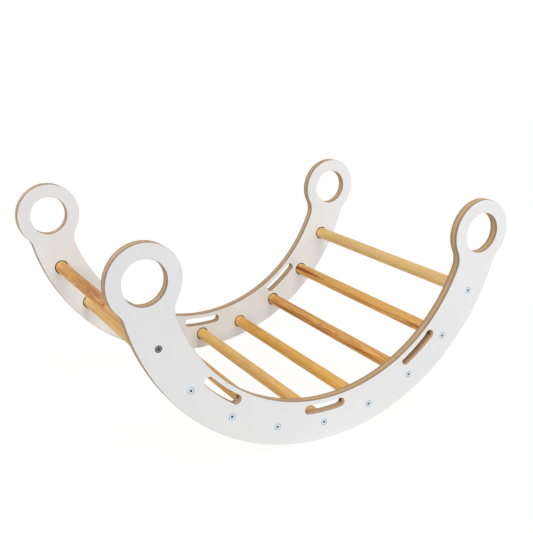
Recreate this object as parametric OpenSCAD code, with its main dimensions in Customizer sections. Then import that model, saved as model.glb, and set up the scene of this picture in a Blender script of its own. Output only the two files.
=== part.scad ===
// A rocking arch for small children. Two curved boards of white-faced birch plywood, each ending in
// two ring handles, carry nine pine rungs. Every rung sits in a shallow pocket at each end and is
// pulled tight by one countersunk bolt through the board into a threaded insert.
// X runs along the arch, Y across it, Z up. The origin is on the floor under the middle.

/* [Boards] */
// Radius of the outer edge, which the arch rocks on
rocker_r = 412.5; // [390:0.5:440]
// Width of the curved band between its outer and inner edge
band_w = 87.5; // [85:0.5:96]
// Thickness of a finished board with both facings
board_t = 18; // [16:0.5:24]
// Thickness of one white facing
facing_t = 0.8; // [0.4:0.1:1.2]
// How far a facing stays back from the eased rim of its board
rim_ease = 0.5; // [0.1:0.1:1]
// Clear distance between the two boards
clear_w = 514; // [400:1:650]

/* [Ring handles] */
// Angle from straight down to a ring's centre
ring_angle = 83.2; // [81:0.1:86]
// Distance from the outer edge's circle to a ring's centre
ring_setback = 49; // [46:0.5:52]
// Outer radius of a ring
ring_r = 67; // [62:0.5:74]
// Diameter of the hole in a ring
ring_hole_d = 80; // [70:1:90]
// Radius of the fillet between a ring and the outer edge
outer_fillet_r = 26; // [15:1:60]
// Radius of the fillet between a ring and the inner edge
inner_fillet_r = 40; // [20:1:80]

/* [Hand slots] */
// Angle from the middle slot to each side slot
slot_angle = 40; // [24:0.5:50]
// Length of a slot from end to end, along its middle
slot_l = 90; // [60:1:110]
// Width of a slot
slot_w = 18; // [15:0.5:23]
// Wood left between a slot and the inner edge
slot_wall = 10; // [7:0.5:11]

/* [Rungs] */
// Number of rungs
rung_count = 9; // [5:1:9]
// Angle from one rung to the next
rung_pitch = 16.2; // [14:0.1:17]
// Distance from the outer edge to the line of rung centres
rung_setback = 36.5; // [34:0.5:38]
// Diameter of a rung
rung_d = 26; // [22:0.5:28]
// Gap all round a rung inside its pocket
pocket_play = 1.2; // [0.2:0.1:1.5]
// Depth of a rung's pocket from the board's inner face
pocket_depth = 6; // [4:0.5:8]
// Chamfer on the ends of a rung
rung_chamfer = 1; // [0.5:0.1:2]

/* [Bolts and inserts] */
// Diameter of a bolt's shank
bolt_d = 6; // [5:0.5:7]
// Diameter of a bolt's countersunk head
head_d = 13; // [11:0.5:14]
// Distance from the outer face down to a bolt's head
head_sink = 0.4; // [0.1:0.1:0.8]
// Width across the flats of the hexagon socket
socket_af = 4; // [3:0.5:5]
// Depth of the hexagon socket
socket_depth = 2.2; // [1.6:0.1:2.6]
// Gap all round a bolt where it passes through the board
bolt_play = 0.3; // [0.1:0.1:0.8]
// Gap all round a bolt where it runs in its insert
thread_play = 0.05; // [0.02:0.01:0.1]
// Chamfer on the tip of a bolt
tip_chamfer = 1; // [0.5:0.1:1.5]
// Diameter of a threaded insert
insert_d = 10; // [9:0.5:12]
// Length of a threaded insert
insert_l = 13; // [10:0.5:18]
// Distance from a rung's end to the mouth of its insert
insert_sink = 0.5; // [0:0.1:1]
// Distance from a bolt's tip to the bottom of its insert
tip_gap = 0.5; // [0.2:0.1:2]

/* [Hidden] */
overall_w = clear_w + 2 * board_t;
inner_r = rocker_r - band_w;
middle_r = rocker_r - band_w / 2;
ring_centre_r = rocker_r - ring_setback;
ring_centre = polar(ring_centre_r, ring_angle);
outer_fillet_at = rocker_r + outer_fillet_r;
inner_fillet_at = inner_r - inner_fillet_r;
slot_r = inner_r + slot_wall + slot_w / 2;
slot_half_angle = (slot_l - slot_w) / 2 / slot_r * 180 / PI;
rung_circle_r = rocker_r - rung_setback;
pocket_r = rung_d / 2 + pocket_play;
rung_l = clear_w + 2 * pocket_depth;
bolt_hole_r = bolt_d / 2 + bolt_play;
insert_mouth = board_t - pocket_depth + insert_sink;
insert_end = insert_mouth + insert_l;
bolt_l = insert_end - tip_gap - head_sink;
countersink_r = head_d / 2 + head_sink;
// How far a round bites past the edges that it runs into, so that its outline crosses theirs.
bite = 0.005;
// How far what trims the band reaches past it, and how far a cut starts outside what it cuts.
reach = 2 * rocker_r;
cut = 1;
dark_bolt_at = 1;
birch = "#C9A477";
white_film = "#EFEFEC";
pine = "#DDAE66";
zinc = "#C9D3DE";
dark_steel = "#5A5A5C";
insert_steel = "#B9B5A6";
$fa = 2;
$fs = 0.5;

// A point at radius r, at an angle a measured from straight down.
function polar(r, a) = [r * sin(a), -r * cos(a)];

// Angle of rung i, which runs from 1 at the left to rung_count at the right.
function rung_at(i) = (i - (rung_count + 1) / 2) * rung_pitch;

// Angle at which a fillet of radius f, with its centre at radius d, also touches the ring.
function fillet_angle(d, f) =
    ring_angle - acos((pow(ring_centre_r, 2) + pow(d, 2) - pow(ring_r + f, 2)) / (2 * ring_centre_r * d));

// Everything to the left and right of the middle alike.
module both_ends() {
    children();
    mirror([1, 0, 0]) children();
}

// The curved band, cut off square at the ring centres.
module band(inset) {
    intersection() {
        difference() {
            circle(rocker_r - inset);
            circle(inner_r + inset);
        }
        polygon([[0, 0], polar(reach, ring_angle), [reach, -reach], [-reach, -reach], polar(reach, -ring_angle)]);
    }
}

// Wood that closes the corner between the band and a ring, up to a fillet's centre at radius d.
module corner(d, f) {
    a = fillet_angle(d, f);
    polygon([polar(d, a), ring_centre, polar(middle_r, a)]);
}

// The round that a fillet of radius f, with its centre at radius d, leaves open in that corner.
module fillet(d, f, inset) {
    translate(polar(d, fillet_angle(d, f))) circle(f + inset + bite);
}

// One hand slot, curved along the band, with round ends.
module slot(a, inset) {
    intersection() {
        difference() {
            circle(slot_r + slot_w / 2 + inset);
            circle(slot_r - slot_w / 2 - inset);
        }
        polygon([[0, 0], polar(reach, a - slot_half_angle), polar(reach, a + slot_half_angle)]);
    }
    for (end = [-1, 1])
        translate(polar(slot_r, a + end * slot_half_angle)) circle(slot_w / 2 + inset + bite);
}

// Cuts children right through a plate of thickness t.
module through(t) {
    translate([0, 0, -cut]) linear_extrude(t + 2 * cut) children();
}

// A flat plate of thickness t with the outline of a board, taken in all round by inset.
module plate(t, inset) {
    difference() {
        union() {
            linear_extrude(t) band(inset);
            both_ends() {
                linear_extrude(t) translate(ring_centre) circle(ring_r - inset);
                linear_extrude(t) corner(outer_fillet_at, outer_fillet_r);
                linear_extrude(t) corner(inner_fillet_at, inner_fillet_r);
            }
        }
        both_ends() {
            through(t) translate(ring_centre) circle(ring_hole_d / 2 + inset);
            through(t) fillet(outer_fillet_at, outer_fillet_r, inset);
            through(t) fillet(inner_fillet_at, inner_fillet_r, inset);
        }
        for (a = [-slot_angle, 0, slot_angle]) through(t) slot(a, inset);
    }
}

// Places children on the axis of rung i, with Z = 0 on the front board's outer face and +Z into the arch.
module on_rung_axis(i) {
    at = polar(rung_circle_r, rung_at(i));
    translate([at.x, -overall_w / 2, rocker_r + at.y]) rotate([-90, 0, 0]) children();
}

// The drilling at one rung: pocket on the inner face, bolt hole, and countersink on the outer face.
module drilling() {
    translate([0, 0, board_t - pocket_depth]) cylinder(h = pocket_depth + cut, r = pocket_r);
    translate([0, 0, -cut]) cylinder(h = board_t, r = bolt_hole_r);
    translate([0, 0, -cut])
        cylinder(h = countersink_r - bolt_hole_r + cut, r1 = countersink_r + cut, r2 = bolt_hole_r);
}

// One layer of the front board, from depth u0 to depth u1 under its outer face.
module layer(u0, u1, inset) {
    difference() {
        translate([0, u1 - overall_w / 2, rocker_r])
            rotate([90, 0, 0]) plate(u1 - u0, inset);
        for (i = [1 : rung_count]) on_rung_axis(i) drilling();
    }
}

module board() {
    color(birch) layer(facing_t, board_t - facing_t, 0);
}

module outer_facing() {
    color(white_film) layer(0, facing_t, rim_ease);
}

module inner_facing() {
    color(white_film) layer(board_t - facing_t, board_t, rim_ease);
}

// A round bar along +Z with both ends chamfered.
module chamfered_bar(r, l, chamfer) {
    rotate_extrude()
        polygon([[0, 0], [r - chamfer, 0], [r, chamfer], [r, l - chamfer], [r - chamfer, l], [0, l]]);
}

module rung(i) {
    color(pine) on_rung_axis(i) difference() {
        translate([0, 0, board_t - pocket_depth]) chamfered_bar(rung_d / 2, rung_l, rung_chamfer);
        translate([0, 0, board_t - pocket_depth - cut])
            cylinder(h = insert_end - board_t + pocket_depth + cut, r = insert_d / 2);
        translate([0, 0, overall_w - insert_end])
            cylinder(h = insert_end - board_t + pocket_depth + cut, r = insert_d / 2);
    }
}

module insert() {
    color(insert_steel) translate([0, 0, insert_mouth]) difference() {
        cylinder(h = insert_l, r = insert_d / 2);
        translate([0, 0, -cut]) cylinder(h = insert_l + 2 * cut, r = bolt_d / 2 + thread_play);
    }
}

module bolt() {
    translate([0, 0, head_sink]) difference() {
        rotate_extrude() polygon([
            [0, 0],
            [head_d / 2, 0],
            [bolt_d / 2, (head_d - bolt_d) / 2],
            [bolt_d / 2, bolt_l - tip_chamfer],
            [bolt_d / 2 - tip_chamfer, bolt_l],
            [0, bolt_l]
        ]);
        translate([0, 0, -cut]) cylinder(h = socket_depth + cut, d = socket_af / cos(30), $fn = 6);
    }
}

// The back of the arch is the front mirrored.
module at_back() {
    mirror([0, 1, 0]) children();
}

module all_inserts() {
    for (i = [1 : rung_count]) on_rung_axis(i) insert();
}

board();  // front_board
outer_facing();  // front_outer_facing
inner_facing();  // front_inner_facing
at_back() board();  // back_board
at_back() outer_facing();  // back_outer_facing
at_back() inner_facing();  // back_inner_facing
for (i = [1 : rung_count]) rung(i);
/* front_bolts */ for (i = [1 : rung_count]) if (i != dark_bolt_at) color(zinc) on_rung_axis(i) bolt();
color(dark_steel) on_rung_axis(dark_bolt_at) bolt();  // front_dark_bolt
at_back() for (i = [1 : rung_count]) color(zinc) on_rung_axis(i) bolt();  // back_bolts
all_inserts();  // front_inserts
at_back() all_inserts();  // back_inserts
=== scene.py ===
from math import cos, pi, radians, sin

import bpy
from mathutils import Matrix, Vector

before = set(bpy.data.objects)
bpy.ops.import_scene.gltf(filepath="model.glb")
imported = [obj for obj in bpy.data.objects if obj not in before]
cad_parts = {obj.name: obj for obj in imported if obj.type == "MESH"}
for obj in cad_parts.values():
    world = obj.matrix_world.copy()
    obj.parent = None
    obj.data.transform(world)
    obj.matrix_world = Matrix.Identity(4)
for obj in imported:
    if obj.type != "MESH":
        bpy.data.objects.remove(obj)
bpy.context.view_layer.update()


# The two boards. Each is a half ring with a ring handle at either end and three hand slots, and its
# core is cut in one piece from birch plywood, eleven plies that lie crosswise by turns. The edge is
# bare wood, sanded, a little rounded and oiled.
mm = 0.001
film_t = 0.8 * mm
core_t = 16.4 * mm
core_inside = 514 / 2 * mm + film_t
rocker_r = 412.5 * mm
rung_circle_r = rocker_r - 36.5 * mm
rung_step = radians(16.2)
pocket_r = 14.2 * mm
slot_circle_r = 344 * mm
slot_reach = 9.6 * mm            # half a slot's width and a little more
slot_step = radians(40)
slot_end = radians(7.3)          # from a slot's middle to its end
below_rings = 1.3 * slot_step    # as far up as there are slots
# From the outer face inwards. The ply under each facing is stained grey by its glue.
ply_colours = [
    "#B6A388", "#A6855A", "#CFAA84", "#C39B6E", "#E2C49E", "#DABA8D",
    "#C59F74", "#D6B58A", "#C8A379", "#A37C52", "#B39E82",
]
ply_wander_l = 50 * mm
ply_wander = 0.05                # as a share of the core's thickness
glue_from, glue_full = 0.38, 0.46    # from a ply's middle, in plies
glue_colour = "#6A4628"
glue_share = 0.55                # how much of its colour shows
streak_l, streak_w = 12 * mm, 1 * mm
long_cut_tones = (0.86, 1.16)
end_cut_tones = (0.62, 1.14)
# The walls of the front slots, painted with light and shade: pale near the face where light reaches,
# and brown deeper in as painted shade, given from the outer face inwards. The painted shadows at the
# slots' ends lie on top.
lit_wall_paint = "#DFC19C"
shaded_wall_paint = [(0.05, "#EBCBA1"), (0.2, "#E2BD8D"), (0.34, "#B28A60"), (0.8, "#A1764E")]
wall_share = 0.75                # how much of it shows
# Painted shade in the deep corner at each front slot's right end, lower from slot to slot.
end_shade_colour = "#6B3A18"
end_shade_r, end_shade_core_r = 9 * mm, 4 * mm
end_shade_in, end_shade_out = 5 * mm, 12 * mm    # where it is full, and gone, from the core's inside
end_shade_drop = 7 * mm               # from slot to slot
# Painted shade inside the pockets and on their lips.
pocket_shade = "#1E130C"
pocket_shade_from, pocket_shade_full = pocket_r + 0.6 * mm, pocket_r + 0.3 * mm


def rgb(hex_code):
    """An sRGB hex value as the linear colour that the shaders take."""
    parts = [int(hex_code[i:i + 2], 16) / 255 for i in (1, 3, 5)]
    return tuple(c / 12.92 if c <= 0.04045 else ((c + 0.055) / 1.055) ** 2.4 for c in parts) + (1,)


def add(tree, kind, inputs=None, stops=(), **settings):
    """Adds a node. Settings are its own properties, stops are a ramp's places and colours, and
    inputs are numbers, colours, or the outputs or nodes that they are linked to."""
    node = tree.nodes.new(kind)
    for name, value in settings.items():
        setattr(node, name, value)
    for key, value in (inputs or {}).items():
        socket = node.inputs[key] if isinstance(key, int) else next(
            s for s in node.inputs if s.enabled and s.name == key
        )
        if isinstance(value, bpy.types.Node):
            value = next(s for s in value.outputs if s.enabled)
        if isinstance(value, bpy.types.NodeSocket):
            tree.links.new(value, socket)
        else:
            socket.default_value = value
    for _ in stops[2:]:
        node.color_ramp.elements.new(1)
    for number, (position, colour) in enumerate(stops):
        node.color_ramp.elements[number].position = position
        node.color_ramp.elements[number].color = rgb(colour)
    return node


def new_material(name):
    """An empty material and its node tree."""
    made = bpy.data.materials.new(name)
    made.use_nodes = True
    made.node_tree.nodes.clear()
    return made, made.node_tree


def on_arch(tree, place):
    """A point's distance from the middle of the rocking circle, and its angle from straight down."""
    split = add(tree, "ShaderNodeSeparateXYZ", {"Vector": place})
    drop = add(tree, "ShaderNodeMath", {0: rocker_r, 1: split.outputs["Z"]}, operation="SUBTRACT")
    flat = add(tree, "ShaderNodeCombineXYZ", {"X": split.outputs["X"], "Z": drop})
    reach = add(tree, "ShaderNodeVectorMath", {"Vector": flat}, operation="LENGTH")
    angle = add(tree, "ShaderNodeMath", {0: split.outputs["X"], 1: drop}, operation="ARCTAN2")
    return reach, angle


def from_nearest(tree, reach, angle, step, spot_r, spot_angle):
    """Distance from a spot that comes back at every step of angle along the arch."""
    turn = add(tree, "ShaderNodeMath", {0: angle, 1: -step / 2, 2: step / 2}, operation="WRAP")
    turn = add(tree, "ShaderNodeMath", {0: turn, 1: spot_angle}, operation="SUBTRACT")
    along = add(tree, "ShaderNodeMath", {0: turn, 1: spot_r}, operation="MULTIPLY")
    out = add(tree, "ShaderNodeMath", {0: reach, 1: spot_r}, operation="SUBTRACT")
    apart = add(tree, "ShaderNodeCombineXYZ", {"X": along, "Y": out})
    return add(tree, "ShaderNodeVectorMath", {"Vector": apart}, operation="LENGTH")


def ease_edges(nodes, width, steps):
    """Rounds the sharp edges of CAD nodes, without touching their meshes."""
    for name in nodes:
        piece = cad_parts[name]
        weld = piece.modifiers.new("closed", "WELD")
        weld.merge_threshold = 0.01 * mm
        bevel = piece.modifiers.new("eased edges", "BEVEL")
        bevel.width = width
        bevel.segments = steps
        bevel.limit_method = "ANGLE"
        bevel.angle_limit = radians(40)
        even = piece.modifiers.new("even shading", "WEIGHTED_NORMAL")
        even.mode = "FACE_AREA_WITH_ANGLE"


def finish_nodes(nodes, material):
    """Gives CAD nodes their finish in every material slot."""
    for name in nodes:
        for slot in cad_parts[name].material_slots:
            slot.material = material


# Birch plywood, cut and sanded. To the eye it is a bundle of light and dark lines that follow the edge:
# plies cut along their grain are pale and streaky, plies cut across it brown and spotted. The walls of
# the front board's slots are painted with light and shade, browner in the right one, with a painted
# shadow at the right end of each. The pockets are painted dark inside, as shade.
birch, tree = new_material("birch_plywood_edge")
place = add(tree, "ShaderNodeTexCoord").outputs["Object"]
reach, angle = on_arch(tree, place)
across = add(tree, "ShaderNodeSeparateXYZ", {"Vector": place}).outputs["Y"]
at_front = add(tree, "ShaderNodeMath", {0: across, 1: 0}, operation="LESS_THAN")
across = add(tree, "ShaderNodeMath", {0: across}, operation="ABSOLUTE")

# The plies, in lines that wander a little.
wander = add(tree, "ShaderNodeTexNoise", {"Vector": place, "Scale": 1 / ply_wander_l, "Detail": 2})
depth = add(
    tree, "ShaderNodeMapRange",
    {"Value": across, "From Min": core_inside + core_t, "From Max": core_inside},
)
depth = add(tree, "ShaderNodeMath", {0: wander, 1: ply_wander, 2: depth}, operation="MULTIPLY_ADD")
depth = add(tree, "ShaderNodeMath", {0: depth, 1: ply_wander / 2}, operation="SUBTRACT")
ply = add(tree, "ShaderNodeValToRGB", {"Fac": depth}, stops=[
    (number / len(ply_colours), colour) for number, colour in enumerate(ply_colours)
])
ply.color_ramp.interpolation = "CONSTANT"

# The walls of the front board's slots, painted with light and shade: pale in the left and middle ones,
# and in the right one pale near the face and brown with painted shade deeper in.
beside = add(tree, "ShaderNodeMath", {0: reach, 1: slot_circle_r}, operation="SUBTRACT")
beside = add(tree, "ShaderNodeMath", {0: beside}, operation="ABSOLUTE")
in_slot = add(tree, "ShaderNodeMath", {0: beside, 1: slot_reach}, operation="LESS_THAN")
low_down = add(tree, "ShaderNodeMath", {0: angle}, operation="ABSOLUTE")
low_down = add(tree, "ShaderNodeMath", {0: low_down, 1: below_rings}, operation="LESS_THAN")
in_slot = add(tree, "ShaderNodeMath", {0: in_slot, 1: low_down}, operation="MULTIPLY")
in_slot = add(tree, "ShaderNodeMath", {0: in_slot, 1: at_front}, operation="MULTIPLY")
in_slot = add(tree, "ShaderNodeMath", {0: in_slot, 1: wall_share}, operation="MULTIPLY")
shade_towards_right = add(
    tree, "ShaderNodeMapRange", {"Value": angle, "From Min": 0, "From Max": slot_step}
)
wall_shade_by_depth = add(tree, "ShaderNodeValToRGB", {"Fac": depth}, stops=shaded_wall_paint)
wall = add(
    tree, "ShaderNodeMix", {"Factor": shade_towards_right, "A": rgb(lit_wall_paint), "B": wall_shade_by_depth}, data_type="RGBA"
)
ply = add(tree, "ShaderNodeMix", {"Factor": in_slot, "A": ply, "B": wall}, data_type="RGBA")

# The glue between two plies is 0.1 mm thick. It is drawn at 0.3 mm, or it wouldn't show.
in_plies = add(tree, "ShaderNodeMath", {0: depth, 1: len(ply_colours)}, operation="MULTIPLY")
off_middle = add(tree, "ShaderNodeMath", {0: in_plies}, operation="FRACT")
off_middle = add(tree, "ShaderNodeMath", {0: off_middle, 1: 0.5}, operation="SUBTRACT")
off_middle = add(tree, "ShaderNodeMath", {0: off_middle}, operation="ABSOLUTE")
glue = add(
    tree, "ShaderNodeMapRange",
    {"Value": off_middle, "From Min": glue_from, "From Max": glue_full, "To Max": glue_share},
)
ply = add(
    tree, "ShaderNodeMix", {"Factor": glue, "A": ply, "B": rgb(glue_colour)}, data_type="RGBA"
)

# The grain. Where the edge cuts one ply along its grain, it cuts the next one across.
ply_number = add(tree, "ShaderNodeMath", {0: in_plies}, operation="FLOOR")
crosswise = add(tree, "ShaderNodeMath", {0: ply_number, 1: 2}, operation="FLOORED_MODULO")
facing_way = add(tree, "ShaderNodeNewGeometry").outputs["Normal"]
facing_way = add(tree, "ShaderNodeVectorMath", {"Vector": facing_way}, operation="ABSOLUTE")
facing_way = add(tree, "ShaderNodeSeparateXYZ", {"Vector": facing_way})
end_grain = add(
    tree, "ShaderNodeMix",
    {"Factor": crosswise, "A": facing_way.outputs["X"], "B": facing_way.outputs["Z"]},
)
streak = add(tree, "ShaderNodeMapping", {"Vector": place, "Scale": (1, streak_l / streak_w, 1)})
streak = add(tree, "ShaderNodeTexNoise", {"Vector": streak, "Scale": 1 / streak_l, "Detail": 4})
# The pores of birch are 0.1 mm wide. They are drawn at 0.8 mm, or they wouldn't show.
pores = add(tree, "ShaderNodeTexNoise", {"Vector": place, "Scale": 1 / (0.8 * mm), "Detail": 3})
long_cut = add(
    tree, "ShaderNodeMapRange",
    {"Value": streak, "To Min": long_cut_tones[0], "To Max": long_cut_tones[1]},
)
end_cut = add(
    tree, "ShaderNodeMapRange",
    {"Value": pores, "To Min": end_cut_tones[0], "To Max": end_cut_tones[1]},
)
tone = add(tree, "ShaderNodeMix", {"Factor": end_grain, "A": long_cut, "B": end_cut})
wood = add(tree, "ShaderNodeVectorMath", {"Vector": ply, "Scale": tone}, operation="SCALE")

# Painted shade, one patch at each front slot's right end, on the inner half of the wall.
end_shade_circle_r = add(
    tree, "ShaderNodeMath", {0: angle, 1: end_shade_drop / slot_step, 2: slot_circle_r - mm},
    operation="MULTIPLY_ADD",
)
from_end_shade = from_nearest(tree, reach, angle, slot_step, end_shade_circle_r, slot_end)
deep = add(
    tree, "ShaderNodeMapRange",
    {"Value": across, "From Min": core_inside + end_shade_out, "From Max": core_inside + end_shade_in,
     "To Max": at_front},
)
end_shade = add(
    tree, "ShaderNodeMapRange",
    {"Value": from_end_shade, "From Min": end_shade_r, "From Max": end_shade_core_r, "To Max": deep},
    interpolation_type="SMOOTHSTEP",
)
wood = add(
    tree, "ShaderNodeMix", {"Factor": end_shade, "A": wood, "B": rgb(end_shade_colour)}, data_type="RGBA"
)

# The pockets, and the bolt holes in the middle of each, painted dark as shade.
from_rung = from_nearest(tree, reach, angle, rung_step, rung_circle_r, 0)
drilled = add(
    tree, "ShaderNodeMapRange",
    {"Value": from_rung, "From Min": pocket_shade_from, "From Max": pocket_shade_full},
)
wood = add(
    tree, "ShaderNodeMix", {"Factor": drilled, "A": wood, "B": rgb(pocket_shade)}, data_type="RGBA"
)

bump = add(tree, "ShaderNodeBump", {"Height": streak, "Strength": 0.4, "Distance": 0.1 * mm})
surface = add(tree, "ShaderNodeBsdfPrincipled", {
    "Base Color": wood, "Roughness": 0.6, "IOR": 1.45, "Specular IOR Level": 0.2, "Normal": bump,
})
add(tree, "ShaderNodeOutputMaterial", {"Surface": surface})

boards = ["front_board", "back_board"]
finish_nodes(boards, birch)
ease_edges(boards, width=0.5 * mm, steps=3)


# The facings. A white laminate, 0.8 mm thick, is pressed on both sides of the plywood, and trimmed
# back a little where the edge is eased. The pockets and bolt holes are drilled through it.
film_whites = [(0.3, "#ECECEC"), (0.7, "#EFEFEF")]
cloud_l = 120 * mm
# The rim's grey: the paper inside, darkened further as painted shade.
rim_grey_and_shade = "#6E6A62"
# Painted shade round the lip of each pocket.
lip_shade_from, lip_shade_full = pocket_r + 1.6 * mm, pocket_r + 1.0 * mm

# Melamine laminate, pressed against a satin plate: hard, even and white, with a soft sheen and the
# faintest pearl. Its trimmed rim shows the grey paper inside, darkened further as painted shade, and a
# pocket's lip is painted dark as shade.
film, tree = new_material("white_melamine_laminate")
place = add(tree, "ShaderNodeTexCoord").outputs["Object"]

# White on the face, and grey round the rim: the paper inside, darkened further as painted shade.
side = add(tree, "ShaderNodeNewGeometry").outputs["Normal"]
side = add(tree, "ShaderNodeSeparateXYZ", {"Vector": side}).outputs["Y"]
side = add(tree, "ShaderNodeMath", {0: side}, operation="ABSOLUTE")
flat = add(tree, "ShaderNodeMapRange", {"Value": side, "From Min": 0.5, "From Max": 0.95})
cloud = add(tree, "ShaderNodeTexNoise", {"Vector": place, "Scale": 1 / cloud_l, "Detail": 3})
white = add(tree, "ShaderNodeValToRGB", {"Fac": cloud}, stops=film_whites)
shade = add(
    tree, "ShaderNodeMix", {"Factor": flat, "A": rgb(rim_grey_and_shade), "B": white}, data_type="RGBA"
)

# Painted shade on the lips of the pockets, which only the inner facings have.
across = add(tree, "ShaderNodeSeparateXYZ", {"Vector": place}).outputs["Y"]
across = add(tree, "ShaderNodeMath", {0: across}, operation="ABSOLUTE")
inside = add(tree, "ShaderNodeMath", {0: across, 1: core_inside + mm}, operation="LESS_THAN")
reach, angle = on_arch(tree, place)
from_rung = from_nearest(tree, reach, angle, rung_step, rung_circle_r, 0)
lip = add(
    tree, "ShaderNodeMapRange",
    {"Value": from_rung, "From Min": lip_shade_from, "From Max": lip_shade_full, "To Max": inside},
)
shade = add(
    tree, "ShaderNodeMix", {"Factor": lip, "A": shade, "B": rgb(pocket_shade)}, data_type="RGBA"
)

# The plate's own grain is 0.2 mm. It is drawn at 0.9 mm, as coarse as it needs to catch the light.
pearl = add(tree, "ShaderNodeTexNoise", {"Vector": place, "Scale": 1 / (0.9 * mm), "Detail": 2})
bump = add(tree, "ShaderNodeBump", {"Height": pearl, "Strength": 0.15, "Distance": 0.03 * mm})
surface = add(
    tree, "ShaderNodeBsdfPrincipled",
    {"Base Color": shade, "Roughness": 0.42, "IOR": 1.5, "Normal": bump},
)
add(tree, "ShaderNodeOutputMaterial", {"Surface": surface})

facings = ["front_outer_facing", "front_inner_facing", "back_outer_facing", "back_inner_facing"]
finish_nodes(facings, film)
ease_edges(facings, width=0.3 * mm, steps=2)


# The rungs. Nine round pine bars, turned, sanded and oiled, each from another place in another tree.
# Each end sits in a drilled pocket of a board, 6 mm deep, and is pulled tight by a bolt.
rung_r = 13 * mm
rung_count = 9
tree_step = 37 * mm              # along the trunk, so that no two rungs have the same waves
waver_w = 14 * mm
waver_ratio, knot_ratio, fibre_ratio = 0.12, 0.5, 0.06    # each one's width to its length
year_spread = 0.6                # how far a pale year's late wood goes towards its early wood
# Painted light near each end, as light thrown back by the white boards.
end_light_colour = "#F6CC7C"
end_light_share = 0.6
end_light_from, end_light_full = core_inside - 15 * mm, core_inside - 5 * mm
resin_colour = "#9C480E"


def rung_axis(number):
    """Where a rung's axis is, in X and Z."""
    angle = (number - (rung_count + 1) / 2) * rung_step
    return Vector((rung_circle_r * sin(angle), 0, rocker_r - rung_circle_r * cos(angle)))


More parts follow.
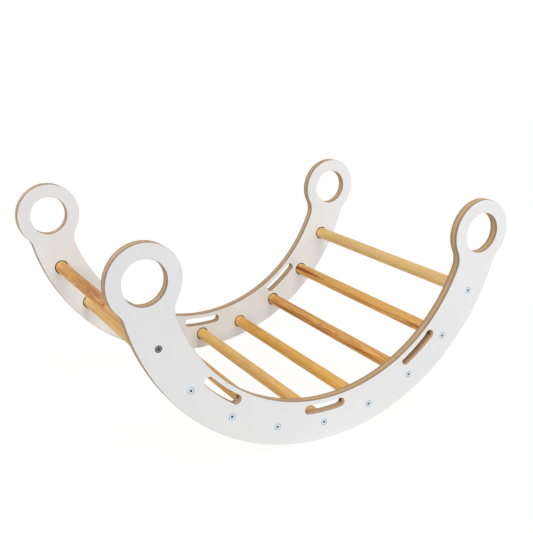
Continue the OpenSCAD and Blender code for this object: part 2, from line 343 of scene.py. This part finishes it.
def turned_pine(number, early, late, pith, lean, ring, waver, grain, streaks=(), knots=()):
    """Turned pine, oiled: warm gold, satin, with the lines in which its growth rings meet the round of
    the bar. The last centimetre before each board is painted paler, as light thrown back by the white
    boards.

    early, late -- the colours of the wood that grows early and late in a year
    pith, lean -- how far the tree's middle lies off the bar's axis, and its turn about X and Z
    ring, waver -- a year's growth, and how far the rings stray
    grain -- how much the tone varies from fibre to fibre
    streaks -- resin: angle from the top towards the left, middle, half length, half width, strength
    knots -- X, Y and Z from the bar's middle, size, and how far the knot bends the rings"""
    made, tree = new_material(f"turned_pine_{number}")
    place = add(tree, "ShaderNodeTexCoord").outputs["Object"]
    place = add(
        tree, "ShaderNodeVectorMath", {0: place, 1: rung_axis(number)}, operation="SUBTRACT"
    )
    split = add(tree, "ShaderNodeSeparateXYZ", {"Vector": place})

    # The growth rings round the pith, each year a little different.
    trunk = add(tree, "ShaderNodeMapping", {
        "Vector": place,
        "Location": (-pith[0] * mm, number * tree_step, -pith[1] * mm),
        "Rotation": (radians(lean[0]), 0, radians(lean[1])),
    })
    growth = add(tree, "ShaderNodeVectorMath", {0: trunk, 1: (1, 0, 1)}, operation="MULTIPLY")
    growth = add(tree, "ShaderNodeVectorMath", {"Vector": growth}, operation="LENGTH")
    wave = add(tree, "ShaderNodeMapping", {"Vector": trunk, "Scale": (1, waver_ratio, 1)})
    wave = add(tree, "ShaderNodeTexNoise", {"Vector": wave, "Scale": 1 / waver_w, "Detail": 2})
    growth = add(tree, "ShaderNodeMath", {0: wave, 1: waver * mm, 2: growth}, operation="MULTIPLY_ADD")
    for x, y, z, size, push in knots:
        away = add(
            tree, "ShaderNodeVectorMath", {0: place, 1: (x * mm, y * mm, z * mm)},
            operation="SUBTRACT",
        )
        away = add(tree, "ShaderNodeMapping", {"Vector": away, "Scale": (1, knot_ratio, 1)})
        away = add(tree, "ShaderNodeVectorMath", {"Vector": away}, operation="LENGTH")
        near = add(
            tree, "ShaderNodeMapRange",
            {"Value": away, "From Min": size * mm, "From Max": 0, "To Max": push * mm},
            interpolation_type="SMOOTHSTEP",
        )
        growth = add(tree, "ShaderNodeMath", {0: growth, 1: near}, operation="ADD")
    year = add(tree, "ShaderNodeMath", {0: growth, 1: ring * mm}, operation="DIVIDE")
    season = add(tree, "ShaderNodeMath", {0: year}, operation="FRACT")
    wood = add(tree, "ShaderNodeValToRGB", {"Fac": season}, stops=[
        (0, late), (0.12, early), (0.5, early), (0.85, late), (0.97, late),
    ])
    year = add(tree, "ShaderNodeMath", {0: year}, operation="FLOOR")
    year_tone = add(tree, "ShaderNodeTexWhiteNoise", {"W": year}, noise_dimensions="1D")
    year_tone = add(
        tree, "ShaderNodeMapRange", {"Value": year_tone.outputs["Value"], "To Max": year_spread}
    )
    wood = add(
        tree, "ShaderNodeMix", {"Factor": year_tone, "A": wood, "B": rgb(early)}, data_type="RGBA"
    )

    # Painted light: the ends are paler next to the white boards.
    end_light_mask = add(tree, "ShaderNodeMath", {0: split.outputs["Y"]}, operation="ABSOLUTE")
    end_light_mask = add(
        tree, "ShaderNodeMapRange",
        {"Value": end_light_mask, "From Min": end_light_from, "From Max": end_light_full, "To Max": end_light_share},
    )
    wood = add(
        tree, "ShaderNodeMix", {"Factor": end_light_mask, "A": wood, "B": rgb(end_light_colour)},
        data_type="RGBA",
    )

    # The streaks, which sway with the grain.
    turn = add(
        tree, "ShaderNodeMath", {0: split.outputs["X"], 1: split.outputs["Z"]}, operation="ARCTAN2"
    )
    round_it = add(tree, "ShaderNodeMath", {0: turn, 1: -rung_r}, operation="MULTIPLY")
    sway = add(tree, "ShaderNodeMath", {0: wave, 1: 0.5}, operation="SUBTRACT")
    round_it = add(
        tree, "ShaderNodeMath", {0: sway, 1: waver * mm, 2: round_it}, operation="MULTIPLY_ADD"
    )
    for left_of_top, middle, half_l, half_w, strength in streaks:
        off = add(
            tree, "ShaderNodeMath", {0: round_it, 1: radians(left_of_top) * rung_r},
            operation="SUBTRACT",
        )
        off = add(tree, "ShaderNodeMath", {0: off, 1: half_w * mm}, operation="DIVIDE")
        off = add(tree, "ShaderNodeMath", {0: off}, operation="ABSOLUTE")
        far = add(
            tree, "ShaderNodeMath", {0: split.outputs["Y"], 1: middle * mm}, operation="SUBTRACT"
        )
        far = add(tree, "ShaderNodeMath", {0: far, 1: half_l * mm}, operation="DIVIDE")
        far = add(tree, "ShaderNodeMath", {0: far, 1: far}, operation="MULTIPLY")
        off = add(tree, "ShaderNodeMath", {0: off, 1: far}, operation="ADD")
        stain = add(
            tree, "ShaderNodeMapRange",
            {"Value": off, "From Min": 1, "From Max": 0.2, "To Max": strength},
            interpolation_type="SMOOTHSTEP",
        )
        wood = add(
            tree, "ShaderNodeMix", {"Factor": stain, "A": wood, "B": rgb(resin_colour)},
            data_type="RGBA",
        )

    # Pine fibres are a few hundredths of a millimetre wide. They are drawn as bundles of 2.6 mm.
    fibre = add(tree, "ShaderNodeMapping", {"Vector": trunk, "Scale": (1, fibre_ratio, 1)})
    fibre = add(tree, "ShaderNodeTexNoise", {"Vector": fibre, "Scale": 1 / (2.6 * mm), "Detail": 4})
    tone = add(
        tree, "ShaderNodeMapRange",
        {"Value": fibre, "From Min": 0.3, "From Max": 0.7, "To Min": 1 - grain, "To Max": 1 + grain},
    )
    wood = add(tree, "ShaderNodeVectorMath", {"Vector": wood, "Scale": tone}, operation="SCALE")

    bump = add(tree, "ShaderNodeBump", {"Height": fibre, "Strength": 0.3, "Distance": 0.08 * mm})
    surface = add(tree, "ShaderNodeBsdfPrincipled", {
        "Base Color": wood, "Roughness": 0.55, "IOR": 1.45, "Specular IOR Level": 0.25, "Normal": bump,
    })
    add(tree, "ShaderNodeOutputMaterial", {"Surface": surface})
    finish_nodes([f"rung_{number}"], made)


# From left to right, in millimetres and degrees.
turned_pine(
    1, early="#EDB36B", late="#CC8A45", pith=(-20, 9), lean=(1.5, 0.6), ring=4.2, waver=6, grain=0.12,
    streaks=[
        (43, 55, 120, 22, 0.34), (-12, 130, 110, 3, 0.45), (46, 52, 20, 6, 0.5),
        (18, 30, 60, 3, 0.6), (34, 14, 40, 2.5, 0.5), (62, -38, 12, 4, 0.9), (40, -50, 30, 2, 0.4),
        (80, 0, 60, 5, 0.35), (-2, -30, 60, 2.5, 0.5),
    ],
    knots=[(-9, 60, 10, 60, 9), (-9, -10, 10, 30, 7)],
)
turned_pine(
    2, early="#F1C882", late="#DEAA5A", pith=(48, 12), lean=(0.8, -0.5), ring=3.4, waver=2, grain=0.1,
    streaks=[(43, 60, 130, 2.5, 0.2), (50, 40, 80, 1.5, 0.25)],
)
turned_pine(
    3, early="#EDBB70", late="#D79950", pith=(-35, 22), lean=(0.6, 0.4), ring=3.2, waver=2, grain=0.12,
)
turned_pine(
    4, early="#EDBB70", late="#D79950", pith=(60, -15), lean=(0.5, 0.5), ring=3.2, waver=2, grain=0.12,
)
turned_pine(
    5, early="#F8CC7E", late="#E3AF5E", pith=(-52, -20), lean=(0.7, 0.8), ring=3.6, waver=2, grain=0.13,
    streaks=[(-16, -60, 280, 2, 0.45), (106, 60, 240, 2.5, 0.35), (45, 40, 120, 3, 0.15)],
)
turned_pine(
    6, early="#F0BD62", late="#D89B44", pith=(44, 30), lean=(1.0, -0.4), ring=3.4, waver=2, grain=0.16,
    streaks=[(11, 180, 70, 4, 0.35), (62, 30, 130, 3, 0.15)],
)
turned_pine(
    7, early="#E8B165", late="#C2833B", pith=(-18, 14), lean=(1.2, 0.9), ring=4.0, waver=7, grain=0.14,
    streaks=[
        (4, 130, 180, 3, 0.35), (87, 240, 120, 3.5, 0.7), (69, 110, 80, 2, 0.5),
        (78, 90, 90, 2, 0.55), (102, 160, 110, 4.5, 0.7), (97, 20, 60, 4, 0.6),
        (64, 0, 70, 2, 0.4), (72, -130, 90, 1.6, 0.5),
        (88, -130, 120, 2.2, 0.9), (104, -120, 120, 2.5, 0.45),
    ],
    knots=[(-12, 0, 0, 30, 6)],
)
turned_pine(
    8, early="#E9B768", late="#D19446", pith=(26, 18), lean=(0.9, -0.8), ring=3.8, waver=2, grain=0.11,
    streaks=[
        (64, 262, 165, 7.5, 1.0), (86, -20, 200, 2.2, 0.5), (84, -215, 55, 3, 0.95),
        (28, 220, 60, 2.5, 0.35),
    ],
)
turned_pine(
    9, early="#EAC685", late="#DEB370", pith=(70, 40), lean=(0.4, 0.2), ring=2.6, waver=2, grain=0.07,
    streaks=[(26, 250, 40, 4, 0.35)],
)


# The bolts. Countersunk socket bolts of steel, 13 mm across the head and sunk just below the board's
# face. They have a bright zinc plating, but one at the front's left end is another batch, dark and
# dull.
head_r = 6.5 * mm
# Painted shade in the ring round each head and down in its socket.
rim_shade_from, rim_shade_full = head_r - 1.9 * mm, head_r - 0.5 * mm
socket_r = 2.5 * mm
socket_shade_from, socket_shade_full = socket_r + 0.3 * mm, socket_r - 0.3 * mm
gloss_spread = 0.06


def plated_steel(name, face, rim, socket, roughness):
    """Steel, turned and plated or left dark: it mirrors the room softly, brightest on the face of a
    head, with painted shade deeper in its rim and down in the socket."""
    made, tree = new_material(name)
    place = add(tree, "ShaderNodeTexCoord").outputs["Object"]
    # The grit of the plating is a few hundredths of a millimetre, and is drawn at 0.5 mm.
    grit = add(tree, "ShaderNodeTexNoise", {"Vector": place, "Scale": 1 / (0.5 * mm), "Detail": 3})
    gloss = add(
        tree, "ShaderNodeMapRange",
        {"Value": grit, "To Min": roughness - gloss_spread, "To Max": roughness + gloss_spread},
    )
    # Painted shade: darker towards the rim of the head, and in the socket.
    reach, angle = on_arch(tree, place)
    from_axis = from_nearest(tree, reach, angle, rung_step, rung_circle_r, 0)
    edge = add(
        tree, "ShaderNodeMapRange",
        {"Value": from_axis, "From Min": rim_shade_from, "From Max": rim_shade_full},
    )
    colour = add(
        tree, "ShaderNodeMix", {"Factor": edge, "A": rgb(face), "B": rgb(rim)}, data_type="RGBA"
    )
    sunk = add(
        tree, "ShaderNodeMapRange",
        {"Value": from_axis, "From Min": socket_shade_from, "From Max": socket_shade_full},
    )
    colour = add(
        tree, "ShaderNodeMix", {"Factor": sunk, "A": colour, "B": rgb(socket)}, data_type="RGBA"
    )
    surface = add(
        tree, "ShaderNodeBsdfPrincipled",
        {"Base Color": colour, "Metallic": 1, "Roughness": gloss},
    )
    add(tree, "ShaderNodeOutputMaterial", {"Surface": surface})
    return made


bright_bolts = ["front_bolts", "back_bolts"]
dark_bolts = ["front_dark_bolt"]
# Bright zinc: pale, cool and a little blue, with painted shade in the rim and socket.
finish_nodes(bright_bolts, plated_steel(
    "bright_zinc_plating", face="#DEEBF4", rim="#8CA5B8", socket="#36556C", roughness=0.3,
))
# Steel without zinc: dark grey, and duller, with painted shade in the rim and socket.
finish_nodes(dark_bolts, plated_steel(
    "dull_dark_steel", face="#7E7E81", rim="#424246", socket="#4E4E52", roughness=0.45,
))
ease_edges(bright_bolts + dark_bolts, width=0.2 * mm, steps=2)


# The threaded inserts. Steel bushes with a yellowed zinc plating, screwed into the rungs' ends, each
# with a bolt in it. They are out of sight once the arch is built.
inserts = ["front_inserts", "back_inserts"]
finish_nodes(inserts, plated_steel(
    "yellowed_zinc_plating", face="#B9B5A6", rim="#B9B5A6", socket="#B9B5A6", roughness=0.4,
))
ease_edges(inserts, width=0.2 * mm, steps=1)


# The floor and the room. A plain white floor that keeps a faint shadow, and a white room all round.
# The room gives a little light from every side. What looks at it, or mirrors it, sees plain white.
floor_half = 15.0
glow_share = 0.88                # of what is seen of the floor, the rest is paint with its shadow
floor_glow = 1.06
room_light = 0.14


def seen_straight(tree):
    """1 for what the camera sees, also by way of a mirror or a clear piece, and 0 for what only
    lights a piece."""
    path = add(tree, "ShaderNodeLightPath").outputs
    seen = add(
        tree, "ShaderNodeMath", {0: path["Is Camera Ray"], 1: path["Is Glossy Ray"]},
        operation="MAXIMUM",
    )
    return add(
        tree, "ShaderNodeMath", {0: seen, 1: path["Is Transmission Ray"]}, operation="MAXIMUM"
    )


corners = [
    (-floor_half, -floor_half, 0), (floor_half, -floor_half, 0),
    (floor_half, floor_half, 0), (-floor_half, floor_half, 0),
]
floor_mesh = bpy.data.meshes.new("floor")
floor_mesh.from_pydata(corners, [], [(0, 1, 2, 3)])
floor = bpy.data.objects.new("floor", floor_mesh)
bpy.context.scene.collection.objects.link(floor)

# Matt white floor paint: even and bright, so that it ends where the room begins without a line.
painted, tree = new_material("white_painted_floor")
seen = seen_straight(tree)
seen = add(tree, "ShaderNodeMath", {0: seen, 1: glow_share}, operation="MULTIPLY")
paint = add(tree, "ShaderNodeBsdfDiffuse", {"Color": rgb("#F0F0F0")})
glow = add(tree, "ShaderNodeEmission", {"Color": rgb("#FFFFFF"), "Strength": floor_glow})
surface = add(tree, "ShaderNodeMixShader", {0: seen, 1: paint, 2: glow})
add(tree, "ShaderNodeOutputMaterial", {"Surface": surface})
floor_mesh.materials.append(painted)

world = bpy.data.worlds.new("white_room")
bpy.context.scene.world = world
world.use_nodes = True
tree = world.node_tree
tree.nodes.clear()
seen = seen_straight(tree)
dim = add(tree, "ShaderNodeBackground", {"Color": rgb("#FFFFFF"), "Strength": room_light})
bright = add(tree, "ShaderNodeBackground", {"Color": rgb("#FFFFFF"), "Strength": 1})
surface = add(tree, "ShaderNodeMixShader", {0: seen, 1: dim, 2: bright})
add(tree, "ShaderNodeOutputWorld", {"Surface": surface})


# The lamps. Nearly all the light is soft and comes from above, from the left and from the front, with
# a low sun behind the arch for the far board's outer face.


def sun(name, towards, strength, spread):
    """A very wide sun, which lights the whole arch and the floor alike."""
    data = bpy.data.lights.new(name, "SUN")
    data.energy = strength
    data.angle = radians(spread)
    made = bpy.data.objects.new(name, data)
    made.rotation_euler = Vector(towards).to_track_quat("-Z", "Y").to_euler()
    bpy.context.scene.collection.objects.link(made)


def panel(name, place, aim, watts, width, height):
    """A soft panel lamp near the arch, which lights one end of it more than the other."""
    data = bpy.data.lights.new(name, "AREA")
    data.shape = "RECTANGLE"
    data.size, data.size_y = width, height
    data.energy = watts
    made = bpy.data.objects.new(name, data)
    made.location = place
    made.rotation_euler = (Vector(aim) - Vector(place)).to_track_quat("-Z", "Y").to_euler()
    bpy.context.scene.collection.objects.link(made)


sun("high", towards=(-0.4, 0.55, -0.9), strength=0.85, spread=60)
sun("left", towards=(1.5, 1.0, -0.8), strength=1.15, spread=30)
sun("front", towards=(0.0, 1.0, -1.0), strength=0.38, spread=30)
sun("behind", towards=(0.1, -1.0, -0.12), strength=1.9, spread=30)
panel(
    "overhead", place=(0.1, -0.45, 1.1), aim=(0.1, -0.27, 0.1), watts=2.05, width=0.9, height=0.4
)
panel(
    "right_front", place=(1.3, -1.2, 0.7), aim=(0.4, -0.27, 0.25), watts=2.5, width=0.6, height=0.6
)


# The camera, at the photograph's angle. Its place, turn and focal length were fitted to the arch's
# edges in the photograph, to about a third of a pixel.
camera_place = (-825.3 * mm, -1435.2 * mm, 767.2 * mm)
yaw, pitch, roll = 0.5049, 0.3477, 0.0091
image_side = 533
focal_px, centre_x_px, centre_y_px = 818.3, 241.7, 314.9

camera_data = bpy.data.cameras.new("camera")
camera_data.sensor_width = 36
camera_data.lens = focal_px / image_side * camera_data.sensor_width
camera_data.shift_x = (image_side / 2 - centre_x_px) / image_side
camera_data.shift_y = (centre_y_px - image_side / 2) / image_side
camera_data.clip_end = 100
camera = bpy.data.objects.new("camera", camera_data)
camera.location = camera_place
camera.rotation_euler = (pi / 2 - pitch, 0, -yaw)
camera.rotation_euler.rotate_axis("Z", roll)
bpy.context.scene.collection.objects.link(camera)
bpy.context.scene.camera = camera
bpy.context.scene.view_settings.view_transform = "Standard"
